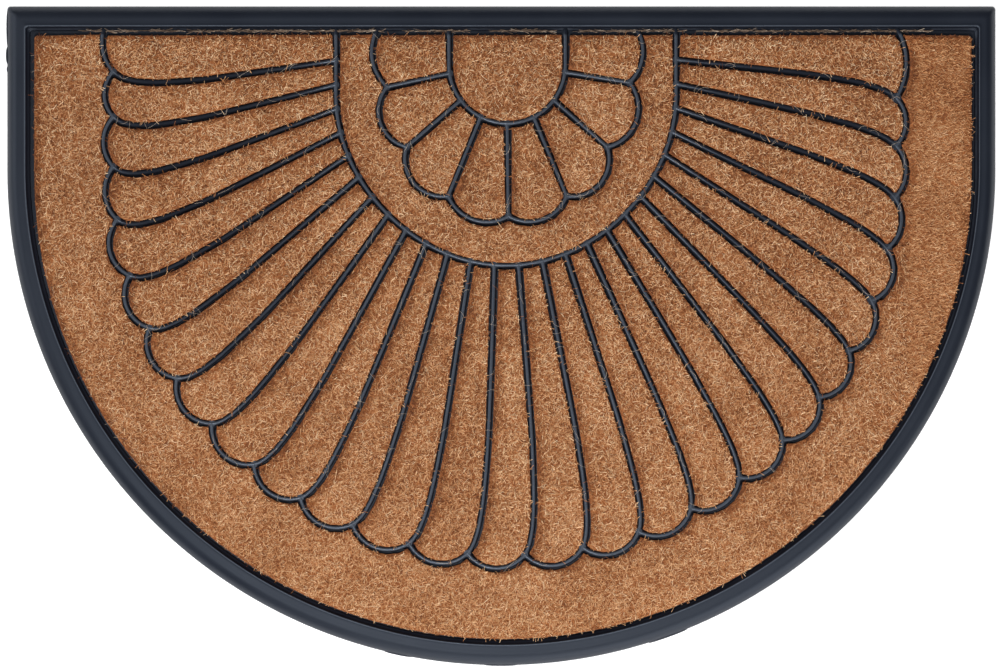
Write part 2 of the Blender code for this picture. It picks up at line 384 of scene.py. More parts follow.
def fan_lines():
    corners = scallop_corners()
    lines = [bulged_arc(b, a, bulge_of(i)) for i, (a, b) in enumerate(zip(corners, corners[1:]))]
    for rib in range(RIB_COUNT):
        before, end = corners[rib], corners[rib + 1]
        lines.append(bending_rib(spring_point(rib), end, before, bulge_of(rib)))
    return lines


print("lines in the fan:", len(fan_lines()))

# %% [markdown]
# ## The lines of the flower
# Inside the ring a smaller flower of eight short petals stands round a half-disc. Its ribs are straight, and
# were measured one by one, because a hand-cut mould is never quite even. Each row says at what angle the rib
# leaves the half-disc and where it ends, seen from the disc's middle.

# %% All lines of the flower
FlowerRib = namedtuple("FlowerRib", "angle x y")
FLOWER_RIBS = (
    FlowerRib(angle=188, x=-111 * MM, y=-20 * MM),
    FlowerRib(angle=217, x=-93 * MM, y=-75.5 * MM),
    FlowerRib(angle=243, x=-54.5 * MM, y=-121 * MM),
    FlowerRib(angle=270, x=1 * MM, y=-139.5 * MM),
    FlowerRib(angle=297, x=55 * MM, y=-121 * MM),
    FlowerRib(angle=323, x=92.5 * MM, y=-75.5 * MM),
    FlowerRib(angle=353, x=113 * MM, y=-16 * MM),
)
FLOWER_SPREAD = 119 * MM
FLOWER_BULGES = (0.18, 0.28, 0.28, 0.23, 0.23, 0.28, 0.28, 0.18)


def flower_lines():
    middle = Vector((CENTRE.x, CENTRE.y, 0))
    lines = []
    ends = [Vector((CENTRE.x - FLOWER_SPREAD, CENTRE.top, 0))]
    for row in FLOWER_RIBS:
        angle = math.radians(row.angle)
        start = middle + CENTRE.radius * Vector((math.cos(angle), math.sin(angle), 0))
        ends.append(middle + Vector((row.x, row.y, 0)))
        lines.append([start, (start + ends[-1]) / 2, ends[-1]])
    ends.append(Vector((CENTRE.x + FLOWER_SPREAD, CENTRE.top, 0)))
    lines += [bulged_arc(b, a, bulge) for a, b, bulge in zip(ends, ends[1:], FLOWER_BULGES)]
    return lines


def half_round_line(shape):
    steps = math.ceil(line_length(shape) / ARC_STEP)
    return [point_on(shape, line_length(shape) * step / steps) for step in range(steps + 1)]


print("lines in the flower:", len(flower_lines()))

# %% [markdown]
# ## The ribs
# A rib is a bead of rubber, 5 mm wide with an upright foot and a round crest. A curve with a bevel would lay
# a whole round tube, so a section is drawn as one face instead and extruded along its line. A matrix stands
# the section across the line at each step, and only the newest end is moved.

# %% Sweep a section along a line
RIB_HALF_WIDTH = 2.5 * MM
RIB_FOOT = BACKING_TOP - 0.2 * MM
RIB_WALL_TOP = 7.4 * MM
RIB_TOP = 10.9 * MM
CREST_STEPS = 10
CREST_FULLNESS = 0.8


def rib_section():
    """Corners of the section: side from the rib's middle, and height."""
    corners = [(RIB_HALF_WIDTH, RIB_FOOT)]
    for step in range(CREST_STEPS + 1):
        angle = math.pi * step / CREST_STEPS
        side = math.copysign(abs(math.cos(angle)) ** CREST_FULLNESS, math.cos(angle))
        height = math.sin(angle) ** CREST_FULLNESS
        corners.append((RIB_HALF_WIDTH * side, RIB_WALL_TOP + (RIB_TOP - RIB_WALL_TOP) * height))
    corners.append((-RIB_HALF_WIDTH, RIB_FOOT))
    return corners


def standing_at(point, heading):
    """The matrix that takes the section to a point of the line, square to its heading."""
    across = UP.cross(heading)
    return Matrix.Translation(point) @ Matrix((heading, across, UP)).transposed().to_4x4()


def places_along(line):
    """The section's place at each point, facing from the point before it to the point after it."""
    ahead = [*line[1:], 2 * line[-1] - line[-2]]
    behind = [2 * line[0] - line[1], *line[:-1]]
    headings = [(a - b).to_2d().to_3d().normalized() for a, b in zip(ahead, behind)]
    return [standing_at(point, heading) for point, heading in zip(line, headings)]


print("corners in a rib's section:", len(rib_section()))

# %% Extrude the section along one line
def sweep(bm, line):
    places = places_along(line)
    corners = [bm.verts.new(places[0] @ Vector((0, side, height))) for side, height in rib_section()]
    end = bm.faces.new(corners)
    for before, after in zip(places, places[1:]):
        end = extruded_on(bm, end)
        bmesh.ops.transform(bm, matrix=after @ before.inverted(), verts=end.verts)


print("sections in the ring:", len(places_along(half_round_line(RING))))

# %% Build the ribs
END_REACH = 6 * MM
END_FALL = 3.2 * MM


def dip_ends(bm):
    """Lets the ribs dip under the ledge of the straight edge, where the mould is filled less."""
    for vert in bm.verts:
        share = (vert.co.y - RIM_INNER.top) / END_REACH + 1
        if vert.co.z > BACKING_TOP:
            vert.co.z -= END_FALL * min(max(share, 0), 1)


def make_ribs(name, lines):
    """Sweeps each line in a bmesh of its own, which keeps the operators fast, and joins them in one mesh."""
    joined = bmesh.new()
    for line in lines:
        bm = bmesh.new()
        sweep(bm, line)
        bmesh.ops.recalc_face_normals(bm, faces=bm.faces)
        part = bpy.data.meshes.new("rib")
        bm.to_mesh(part)
        bm.free()
        joined.from_mesh(part)
        bpy.data.meshes.remove(part)
    dip_ends(joined)
    return piece_from(joined, name)


fan_ribs = make_ribs("rubber_ribs_fan", [half_round_line(RING), *fan_lines()])
flower_ribs = make_ribs("rubber_ribs_flower", [half_round_line(CENTRE), *flower_lines()])
print("faces in the ribs:", len(fan_ribs.data.polygons) + len(flower_ribs.data.polygons))

# %% [markdown]
# ## Webs
# The mould is rounded out where ribs meet, so the rubber fills the corner between them. A blunt cone over
# each joint does the same: its foot reaches into the corners, and its top stays just under the ribs' crests.
# The webs at the far right of the fan are larger.

# %% Set a web on every joint
WEB_FOOT_RADIUS = 7.5 * MM
WEB_TOP_RADIUS = 3.2 * MM
WEB_TOP = 10.5 * MM
WEB_SEGMENTS = 16
WIDE_WEBS_FROM_X = 330 * MM
WIDE_WEB = 1.4


def add_webs(piece, places):
    bm = bmesh.new()
    bm.from_mesh(piece.data)
    for place in places:
        middle = Matrix.Translation(place.to_2d().to_3d() + (RIB_FOOT + WEB_TOP) / 2 * UP)
        swell = WIDE_WEB if place.x > WIDE_WEBS_FROM_X else 1
        radii = {"radius1": WEB_FOOT_RADIUS * swell, "radius2": WEB_TOP_RADIUS * swell}
        sizes = {**radii, "depth": WEB_TOP - RIB_FOOT}
        bmesh.ops.create_cone(bm, cap_ends=True, segments=WEB_SEGMENTS, matrix=middle, **sizes)
    bm.to_mesh(piece.data)
    bm.free()
    piece.data.shade_smooth()
    piece.data.set_sharp_from_angle(angle=SHARP_ANGLE)


fan_joints = [*scallop_corners()[1:-1], *(spring_point(rib) for rib in range(RIB_COUNT))]
flower_joints = [line[end] for line in flower_lines()[: len(FLOWER_RIBS)] for end in (0, -1)]
add_webs(fan_ribs, fan_joints)
add_webs(flower_ribs, flower_joints)
print("webs:", len(fan_joints) + len(flower_joints))

# %% [markdown]
# ## Pads of coir
# Each pocket holds a pad of pile. It isn't flat: feet and packing press it into low lumps. The plain solid
# already has the right outline and a bevelled edge, so a copy of its mesh is welded, cut into a grid by
# planes with bisect_plane, and its top is pushed up and down by smooth noise. The shears trim the pile back
# from the rim. Inside, a pad shrinks from the ribs above and left of it and leans over those below and right
# of it, so that each rib has a dark gap on one side only. Bristles are planted on the pads later.

# %% The trimmed edge along the rim
TOP_TRIM = 2.6 * MM
SIDE_TRIM = 2.4 * MM
ROUND_TRIM = 1.1 * MM
TRIM_REACH = 6 * MM
TRIM_STEEPNESS = 1.5
SIDE_FADE = 0.3


def drawn_back(distance, trim):
    """How far a point at this distance from the rim moves away from it."""
    share = TRIM_STEEPNESS * (1 - (distance - PAD_TO_RIM) / TRIM_REACH)
    return trim * min(max(share, 0), 1)


def trimmed(point):
    """Where the shears leave a point: most is cut at the top, less beside it and least round the foot."""
    across = Vector((point.x - RIM_INNER.x, min(point.y - RIM_INNER.y, 0), 0))
    beside = max(1 + across.normalized().y / SIDE_FADE, 0)
    trim = ROUND_TRIM + (SIDE_TRIM - ROUND_TRIM) * beside
    inwards = -across.normalized() * drawn_back(RIM_INNER.radius - across.length, trim)
    return point + inwards - Vector((0, drawn_back(RIM_INNER.top - point.y, TOP_TRIM), 0))


trims = {"top": TOP_TRIM, "beside": SIDE_TRIM, "round": ROUND_TRIM}
print("trimmed in mm:", {place: round(trim / MM, 1) for place, trim in trims.items()})

# %% Cut the top of a pad into a grid
GRID = 6 * MM
WELD = 0.01 * MM
LEVEL = 0.99


def cut_places(low, high):
    first = math.ceil(low / GRID)
    last = math.floor(high / GRID)
    return [GRID * number for number in range(first, last + 1)]


def cut_top(bm, axis, place):
    """Cuts the level faces of the top along one upright plane."""
    top = [face for face in bm.faces if face.normal.z > LEVEL]
    edges = {edge for face in top for edge in face.edges}
    verts = {vert for face in top for vert in face.verts}
    where = Vector((0, 0, 0))
    where[axis] = place
    across = Vector((0, 0, 0))
    across[axis] = 1
    bmesh.ops.bisect_plane(bm, geom=[*top, *edges, *verts], dist=WELD, plane_co=where, plane_no=across)


print("cuts across the field:", len(cut_places(field_low.x, field_high.x)))

# %% Dent the pads
FLAT_ANGLE = math.radians(1)
TOP_OF_PAD = 11.2 * MM
LUMP_PER_M = 38
LUMP = 0.55 * MM
TUFT_PER_M = 150
TUFT = 0.45 * MM
RAGGED_PER_M = 130
RAGGED = 1.4 * MM
SHADE_SIDE = Vector((-0.5, 0.87, 0))
SHADE_TRIM = 1.25 * MM
UPWARD = 0.5
WANDER_SEED = 5

# Without a seed of its own, noise_vector starts from the clock and gives other edges each run
noise.seed_set(WANDER_SEED)


def out_of_pad(vert):
    """The level direction out of the pad, or none in the middle of its top."""
    total = sum((face.normal for face in vert.link_faces if abs(face.normal.z) < LEVEL), Vector())
    return total.to_2d().to_3d().normalized()


def make_pad(node_name):
    bm = bmesh.new()
    bm.from_mesh(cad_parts[node_name].data)
    bmesh.ops.remove_doubles(bm, verts=bm.verts, dist=WELD)
    bmesh.ops.dissolve_limit(bm, angle_limit=FLAT_ANGLE, verts=bm.verts, edges=bm.edges)
    low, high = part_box(node_name)
    for axis in (0, 1):
        for place in cut_places(low[axis], high[axis]):
            cut_top(bm, axis, place)
    for vert in bm.verts:
        outwards = out_of_pad(vert)
        vert.co = trimmed(vert.co) - outwards * SHADE_TRIM * outwards.dot(SHADE_SIDE)
        if vert.co.z > TOP_OF_PAD:
            wander = noise.noise_vector(vert.co * RAGGED_PER_M) * RAGGED
            rise = LUMP * noise.noise(vert.co * LUMP_PER_M) + TUFT * noise.noise(vert.co * TUFT_PER_M)
            vert.co += Vector((wander.x, wander.y, rise))
    bmesh.ops.triangulate(bm, faces=[face for face in bm.faces if face.normal.z > UPWARD])
    return piece_from(bm, node_name.replace("coir", "pile"))


pads = {name: make_pad(name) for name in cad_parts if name.startswith("coir")}
print("pads:", len(pads), "faces:", sum(len(pad.data.polygons) for pad in pads.values()))

# %% [markdown]
# ## Where bristles stand
# A real pad has far more fibres than a scene can hold, so two hundred thousand stand for them. They are sown
# by area: a triangle of the pad's top is drawn with a chance as large as its share of the whole, and a random
# place in it becomes a root. Arrays of numpy do this for all roots at once. One seeded generator gives every
# random number, so each run sows the same bristles.

# %% Sow roots on a pad
SEED = 7
ROOTS_PER_SQUARE_M = 0.6e6
STEEPEST = 0.35
NO_LENGTH = 1e-12

random = np.random.default_rng(SEED)


def top_triangles(pad):
    """Corners, areas and normals of the triangles that look upwards."""
    mesh = pad.data
    mesh.calc_loop_triangles()
    points = np.empty(len(mesh.vertices) * 3)
    mesh.vertices.foreach_get("co", points)
    corners = np.empty(len(mesh.loop_triangles) * 3, int)
    mesh.loop_triangles.foreach_get("vertices", corners)
    triangles = points.reshape(-1, 3)[corners].reshape(-1, 3, 3)
    across = np.cross(triangles[:, 1] - triangles[:, 0], triangles[:, 2] - triangles[:, 0])
    length = np.linalg.norm(across, axis=1)
    normals = across / np.maximum(length, NO_LENGTH)[:, None]
    upward = normals[:, 2] > STEEPEST
    return triangles[upward], length[upward] / 2, normals[upward]


def sow(pad):
    """Roots on the pad's top and the pad's normal at each."""
    triangles, areas, normals = top_triangles(pad)
    count = int(ROOTS_PER_SQUARE_M * areas.sum())
    chosen = random.choice(len(areas), count, p=areas / areas.sum())
    u, v = random.random((2, count, 1))
    over = u + v > 1
    u, v = np.where(over, 1 - u, u), np.where(over, 1 - v, v)
    a, b, c = triangles[chosen].transpose(1, 0, 2)
    return a + u * (b - a) + v * (c - a), normals[chosen]


sown = {name: sow(pad) for name, pad in pads.items()}
print("bristles:", sum(len(roots) for roots, normals in sown.values()))

# %% [markdown]
# ## How bristles lie
# Trodden coir lies in all directions, a little above the flat. In the wide field at the right the brush has
# been combed sideways. A bristle may hang a millimetre or so over a rib, and a few millimetres where noise
# gathers a tuft. One that would hang further is turned round, and where it still does it is cut short, as the
# shears do at the factory. A ray from above tells whether there is coir below a point.

# %% Look for coir below a point
SKY = 50 * MM

all_pads = bmesh.new()
for pad in pads.values():
    all_pads.from_mesh(pad.data)
pad_tree = BVHTree.FromBMesh(all_pads)
all_pads.free()


def over_coir(points):
    """True for each point that has coir straight below it."""
    hits = (pad_tree.ray_cast(Vector((x, y, SKY)), -UP)[0] for x, y, z in points)
    return np.array([hit is not None for hit in hits], bool)


def hangs(roots, reaches):
    """True for each bristle that leaves its pad, half-way along it or at its tip."""
    return ~(over_coir(roots + reaches) & over_coir(roots + reaches / 2))


print("coir below the middle of the mat:", bool(over_coir([(MAT_EDGE.x, MAT_EDGE.y, 0)])[0]))

# %% Headings, lengths and tips
COMBED_FROM_X = 375 * MM
COMBED_WITHIN = math.radians(38)
LEAST_LEAN = math.radians(3)
MOST_LEAN = math.radians(48)
LEAN_SHAPE = (1.3, 2.2)
HIGHEST_TIP = 2.4 * MM
USUAL_LENGTH = 4.0 * MM
LENGTH_SPREAD = 0.33
SHORTEST = 2.2 * MM
LONGEST = 12 * MM
USUAL_OVERHANG = 1.1 * MM
TUFTED_PER_M = 210
TUFTED = 4.0
LEAST_TUFTED = 0.1
MOST_TUFTED = 3.5
CUT_SHARE = 0.35


def lay(roots, normals):
    """A direction and a length for each root."""
    count = len(roots)
    heading = random.uniform(0, 2 * math.pi, count)
    combed = roots[:, 0] > COMBED_FROM_X
    sideways = random.normal(0, COMBED_WITHIN, count) + math.pi * random.integers(0, 2, count)
    heading = np.where(combed, sideways, heading)
    flat = np.stack([np.cos(heading), np.sin(heading), np.zeros(count)], axis=1)
    lengths = np.clip(USUAL_LENGTH * np.exp(random.normal(0, LENGTH_SPREAD, count)), SHORTEST, LONGEST)
    lean = LEAST_LEAN + (MOST_LEAN - LEAST_LEAN) * random.beta(*LEAN_SHAPE, count)
    lean = np.minimum(lean, np.arcsin(np.minimum(HIGHEST_TIP / lengths, 1)))
    tufts = np.array([noise.noise(Vector(root) * TUFTED_PER_M) for root in roots])
    leaning_out = np.clip(1 + TUFTED * tufts, LEAST_TUFTED, MOST_TUFTED)
    overhang = random.exponential(USUAL_OVERHANG, count) * leaning_out
    supported = np.maximum(lengths - overhang, 0)[:, None]

    def directions(flat):
        mixed = flat * np.cos(lean)[:, None] + normals * np.sin(lean)[:, None]
        return mixed / np.linalg.norm(mixed, axis=1)[:, None]

    hanging = hangs(roots, directions(flat) * supported)
    flat[hanging] *= -1
    hanging[hanging] = hangs(roots[hanging], (directions(flat) * supported)[hanging])
    lengths[hanging] *= CUT_SHARE
    return directions(flat), lengths


laid = {name: lay(*sown[name]) for name in sown}
mean_length = np.concatenate([lengths for _, lengths in laid.values()]).mean()
print("mean length:", round(float(mean_length) / MM, 2), "mm")

# %% [markdown]
# ## Bristle meshes
# A bristle needs very few faces, since there are so many. Two short edges, one at the root and one at the
# tip, each turned half a right angle to its own side, span a long tetrahedron: four triangles, closed, and
# just as wide at the tip as at the root when seen from above. Arrays hold the four corners of every bristle,
# so one mesh takes thousands at once. Each also carries a tone that the material reads, with painted shade
# at the root, deep in the pile, and painted light at the tip.

# %% Bristles from arrays
BRISTLE_WIDTH = 0.70 * MM
THINNEST = 0.5
ROOT_DEPTH = 0.5 * MM
BAKE_MAP = "OFBake"
BRISTLE_CORNERS = 4
BRISTLE_FACES = np.array([(0, 1, 2), (0, 3, 1), (0, 2, 3), (1, 3, 2)])
# Painted shade at the root of each bristle and painted light at its tip
ROOT_SHADE_TONE = -0.20
TIP_LIGHT_TONE = 0.12


def bristle_corners(roots, directions, lengths, widths):
    """The two corners at each root, which is sunk in the pad, and the two at each tip."""
    side = np.cross(directions, np.array(UP))
    side /= np.linalg.norm(side, axis=1)[:, None]
    lift = np.cross(side, directions)
    corners = []
    for place, turn in ((-ROOT_DEPTH, 1), (lengths[:, None], -1)):
        edge = (side + turn * lift) / math.sqrt(2) * widths[:, None] / 2
        corners += [roots + directions * place - edge, roots + directions * place + edge]
    return np.stack(corners, axis=1)


def plan_map(mesh, corners):
    """Maps every corner to where it lies seen from above, so that the colour can be baked."""
    plan = corners[:, :, :2]
    low = plan.min(axis=(0, 1))
    size = (plan.max(axis=(0, 1)) - low).max()
    places = ((plan - low) / size)[:, BRISTLE_FACES]
    layer = mesh.uv_layers.new(name=BAKE_MAP)
    layer.uv.foreach_set("vector", places.astype(np.float32).ravel())


def make_bristles(name, roots, directions, lengths, tones, widest=BRISTLE_WIDTH):
    widths = widest * random.uniform(THINNEST, 1, len(roots))
    corners = bristle_corners(roots, directions, lengths, widths)
    faces = BRISTLE_FACES[None] + BRISTLE_CORNERS * np.arange(len(roots))[:, None, None]
    mesh = bpy.data.meshes.new(name)
    mesh.from_pydata(corners.reshape(-1, 3), [], faces.reshape(-1, 3))
    tone = np.repeat(tones[:, None], BRISTLE_CORNERS, axis=1)
    tone = tone + np.array([ROOT_SHADE_TONE, ROOT_SHADE_TONE, TIP_LIGHT_TONE, TIP_LIGHT_TONE])
    attribute = mesh.attributes.new("tone", "FLOAT", "POINT")
    attribute.data.foreach_set("value", tone.astype(np.float32).ravel())
    plan_map(mesh, corners)
    piece = bpy.data.objects.new(name, mesh)
    bpy.context.scene.collection.objects.link(piece)
    return piece


print("triangles in a bristle:", len(BRISTLE_FACES))

# %% [markdown]
# ## Tones and groups
# Bristles differ: each gets a tone of its own from the generator. Towards the straight edge the tone is
# darker and more mixed, as painted shade and the painted relief of a more grazing light, and it is more even
# where the pile is combed. Lamps alone don't bring out the deep shade between bristles at a pad's edge,
# because a scene has far fewer of them than a mat. So painted shade also lowers the tone beside the rim, at
# a pad's edge, low on its bevel and where a rib stands on the left. The bristles then go into six pieces, to
# keep each of them under two hundred thousand triangles.

# %% Tones of bristles
MIDDLE_TONE = 0.565
# Painted shade and the painted relief of a more grazing light, both growing towards the straight edge
BACK_SHADE_PER_M = -0.14
TONE_SPREAD = 0.24
GRAZING_LIGHT_SPREAD_PER_M = 0.25
COMBED_TONE_SPREAD = 0.13
# Painted shade near a pad's edge
EDGE_REACH = 2.6 * MM
EDGE_SHADE_TONE = -0.04
SHADE_REACHES = (3 * MM, 6.5 * MM)
SHADE_TONE = -0.20
SHADE_FROM = (-0.9, 0.44, 0)
# Painted shade for roots that lie below the pad's top, such as on its bevel
SUNK_SHADE_PER_M = 60
RIM_SHADE_REACH = 9 * MM
RIM_SHADE_TONE = -0.22
SIDE_SHADE = 0.55
SIDE_SHADE_SLOPE = 0.15


def rim_shade(roots):
    """The share of shade from the rim: all at the straight side, more left than right, none at the foot."""
    x = roots[:, 0] - RIM_INNER.x
    y = np.minimum(roots[:, 1] - RIM_INNER.y, 0)
    gap = RIM_INNER.radius - np.hypot(x, y) - PAD_TO_RIM - ROUND_TRIM
    strength = SIDE_SHADE - SIDE_SHADE_SLOPE * x / RIM_INNER.radius
    side = np.clip(1 - gap / RIM_SHADE_REACH, 0, 1) * strength
    side *= 1 + y / RIM_INNER.radius
    gap = RIM_INNER.top - roots[:, 1] - PAD_TO_RIM - TOP_TRIM
    return np.maximum(side, np.clip(1 - gap / RIM_SHADE_REACH, 0, 1))


def tones_of(roots):
    """A random tone for each bristle, lowered by painted shade near pad edges, by ribs, low down, by the rim
    and at the back.
    """
    # Painted shade and painted relief of grazing light, stronger towards the straight edge
    mixed = TONE_SPREAD + GRAZING_LIGHT_SPREAD_PER_M * roots[:, 1]
    spread = np.where(roots[:, 0] > COMBED_FROM_X, COMBED_TONE_SPREAD, mixed)
    tones = MIDDLE_TONE + BACK_SHADE_PER_M * roots[:, 1] + spread * random.normal(0, 1, len(roots))
    # Painted shade wherever a pad's edge is near, on any side
    for x, y in ((1, 0), (0, -1), (-1, 0), (0, 1)):
        near = ~over_coir(roots + EDGE_REACH * np.array((x, y, 0)))
        tones += np.where(near, EDGE_SHADE_TONE, 0)
    for reach in SHADE_REACHES:
        shaded = ~over_coir(roots + reach * np.array(SHADE_FROM))
        tones += np.where(shaded, SHADE_TONE, 0)
    # Painted shade on roots low down on a pad's bevel
    tones -= SUNK_SHADE_PER_M * np.maximum(TOP_OF_PAD - roots[:, 2], 0)
    return tones + RIM_SHADE_TONE * rim_shade(roots)


print("darkest shade of a bristle's tone:", len(SHADE_REACHES) * SHADE_TONE + RIM_SHADE_TONE)

# %% Groups of bristles
PETALS_IN_GROUP = 9
FAN_GROUPS = ("bristles_fan_left", "bristles_fan_foot", "bristles_fan_right")


def group_of(name, x):
    """The bristle piece that a root on this pad, at this x, belongs to."""
    if name == "coir_field":
        return np.where(x < 0, "bristles_field_left", "bristles_field_right")
    if name.startswith("coir_petal"):
        third = (int(name[-2:]) - 1) // PETALS_IN_GROUP
        return np.full(len(x), FAN_GROUPS[third])
    return np.full(len(x), "bristles_middle")


columns = {"roots": [], "directions": [], "lengths": [], "tones": [], "groups": []}
for name, (roots, normals) in sown.items():
    directions, lengths = laid[name]
    columns["roots"].append(roots)
    columns["directions"].append(directions)
    columns["lengths"].append(lengths)
    columns["tones"].append(tones_of(roots))
    columns["groups"].append(group_of(name, roots[:, 0]))
columns = {column: np.concatenate(rows) for column, rows in columns.items()}

bristles = []
for group in sorted(set(columns["groups"])):
    rows = columns["groups"] == group
    chosen = [columns[column][rows] for column in ("roots", "directions", "lengths", "tones")]
    bristles.append(make_bristles(str(group), *chosen))
    print(group, "triangles:", len(bristles[-1].data.polygons))

# %% [markdown]
# ## Stray hairs
# Long pale hairs have worked loose and lie across the ribs, most of them near the straight edge. A hair is a
# chain of bristles: each starts where the last one ends and turns a little further, so that the chain bends.

# %% Hairs across the ribs
HAIR_COUNT = 280
HAIR_LINKS = 5
HAIR_LINK = 2.0 * MM
HAIR_LINK_SPREAD = 0.3
HAIR_TURN = 0.4
HAIR_WIDTH = 0.32 * MM
HAIR_HEIGHT = 11.6 * MM
HAIR_ARCH = 0.9 * MM
HAIR_TONE = 0.8
FOOT_SHARE = 0.35


def hair_middles():
    """Random points on the ribs, fewer of them towards the round edge."""
    rim_line = half_round_line(shrunk(RIM_INNER, 2 * PAD_TO_RIM))
    lines = [np.array(line) for line in [*fan_lines(), *flower_lines(), rim_line]]
    points = np.concatenate([(line[1:] + line[:-1]) / 2 for line in lines])
    legs = np.concatenate([line[1:] - line[:-1] for line in lines])
    back_share = (points[:, 1] - edge_low.y) / (edge_high.y - edge_low.y)
    chances = np.linalg.norm(legs, axis=1) * (FOOT_SHARE + (1 - FOOT_SHARE) * back_share)
    chosen = random.choice(len(points), HAIR_COUNT, p=chances / chances.sum())
    return points[chosen] + random.uniform(-0.5, 0.5, (HAIR_COUNT, 1)) * legs[chosen]


def chained(middles, links, step, turn):
    """Roots, directions and lengths of all links of hairs that bend evenly round their middles."""
    count = len(middles)
    first = random.uniform(0, 2 * math.pi, count)
    bend = random.uniform(-turn, turn, count)
    headings = first[:, None] + bend[:, None] * np.arange(links)
    moves = step[:, None, None] * np.stack([np.cos(headings), np.sin(headings)], axis=2)
    corners = np.concatenate([np.zeros((count, 1, 2)), np.cumsum(moves, axis=1)], axis=1)
    corners += (middles[:, :2] - corners.mean(axis=1))[:, None]
    arch = HAIR_ARCH * np.sin(np.linspace(0, math.pi, links + 1))
    heights = HAIR_HEIGHT + arch * random.uniform(0, 2, (count, 1))
    path = np.concatenate([corners, heights[:, :, None]], axis=2)
    legs = (path[:, 1:] - path[:, :-1]).reshape(-1, 3)
    lengths = np.linalg.norm(legs, axis=1)
    return path[:, :-1].reshape(-1, 3), legs / lengths[:, None], lengths


def make_hairs():
    steps = HAIR_LINK * np.exp(random.normal(0, HAIR_LINK_SPREAD, HAIR_COUNT))
    roots, directions, lengths = chained(hair_middles(), HAIR_LINKS, steps, HAIR_TURN)
    tones = np.full(len(roots), HAIR_TONE)
    return make_bristles("stray_hairs", roots, directions, lengths, tones, HAIR_WIDTH)


bristles.append(make_hairs())
print("links in the hairs:", HAIR_COUNT * HAIR_LINKS)

# %% [markdown]
# ## Fibres along the ledge
# Under the lip of the straight edge lies a thin line of loose coir, where the pads were trimmed. It is
# patchy: slow noise along the edge says where it is thick and where the ledge is bare.

# %% Fibres under the lip of the straight edge
LEDGE_FIBRES = 1300
LEDGE_FROM_X = -385 * MM
LEDGE_TO_X = 395 * MM
LEDGE_INSET = 3.5 * MM
LEDGE_SPREAD = 0.18 * MM
LEDGE_WANDER = 0.5 * MM
LEDGE_HEIGHT = 8.6 * MM
LEDGE_UNEVEN_MM = 0.8
LEDGE_LENGTHS_MM = (3, 8)
LEDGE_TURN = 0.16
LEDGE_TILT = 0.08
LEDGE_PATCH_PER_M = 26
LEDGE_BARE_BELOW = -0.22
LEDGE_TONE = 0.33
LEDGE_TONE_SPREAD = 0.25


def make_ledge_fibres():
    x = random.uniform(LEDGE_FROM_X, LEDGE_TO_X, LEDGE_FIBRES)
    thick = np.array([noise.noise(Vector((place * LEDGE_PATCH_PER_M, 0, 0))) for place in x])
    covered = thick > LEDGE_BARE_BELOW
    x, thick = x[covered], thick[covered]
    count = len(x)
    y = RIM_INNER.top - LEDGE_INSET + random.normal(0, LEDGE_SPREAD, count) + LEDGE_WANDER * thick
    z = LEDGE_HEIGHT + random.uniform(-LEDGE_UNEVEN_MM, LEDGE_UNEVEN_MM, count) * MM
    heading = random.normal(0, LEDGE_TURN, count) + math.pi * random.integers(0, 2, count)
    directions = np.stack([np.cos(heading), np.sin(heading), random.normal(0, LEDGE_TILT, count)], axis=1)
    directions /= np.linalg.norm(directions, axis=1)[:, None]
    lengths = random.uniform(*LEDGE_LENGTHS_MM, count) * MM
    tones = random.normal(LEDGE_TONE, LEDGE_TONE_SPREAD, count)
    return make_bristles("ledge_fibres", np.stack([x, y, z], axis=1), directions, lengths, tones)


bristles.append(make_ledge_fibres())
print("triangles in the ledge fibres:", len(bristles[-1].data.polygons))

# %% [markdown]
# ## Materials as expressions
# A shader is a sum of nodes, and long lists of nodes are hard to read. So one small class wraps a socket and
# lets Python's own signs add the Math nodes: noise * 0.2 + 0.5 is two of them. Everything else comes from one
# method that takes a node's type, its settings and its inputs.

# %% A socket that can be added and multiplied
class Term:
    """An output socket of a material, for sums and products."""

    def __init__(self, finish, socket):
        self.finish = finish
        self.socket = socket

    def math(self, operation, first, second):
        return self.finish.node("ShaderNodeMath", {"operation": operation}, {0: first, 1: second})

    def __add__(self, other):
        return self.math("ADD", self, other)

    def __radd__(self, other):
        return self.math("ADD", other, self)

    def __sub__(self, other):
        return self.math("SUBTRACT", self, other)

    def __rsub__(self, other):
        return self.math("SUBTRACT", other, self)

    def __mul__(self, other):
        return self.math("MULTIPLY", self, other)

    def __rmul__(self, other):
        return self.math("MULTIPLY", other, self)


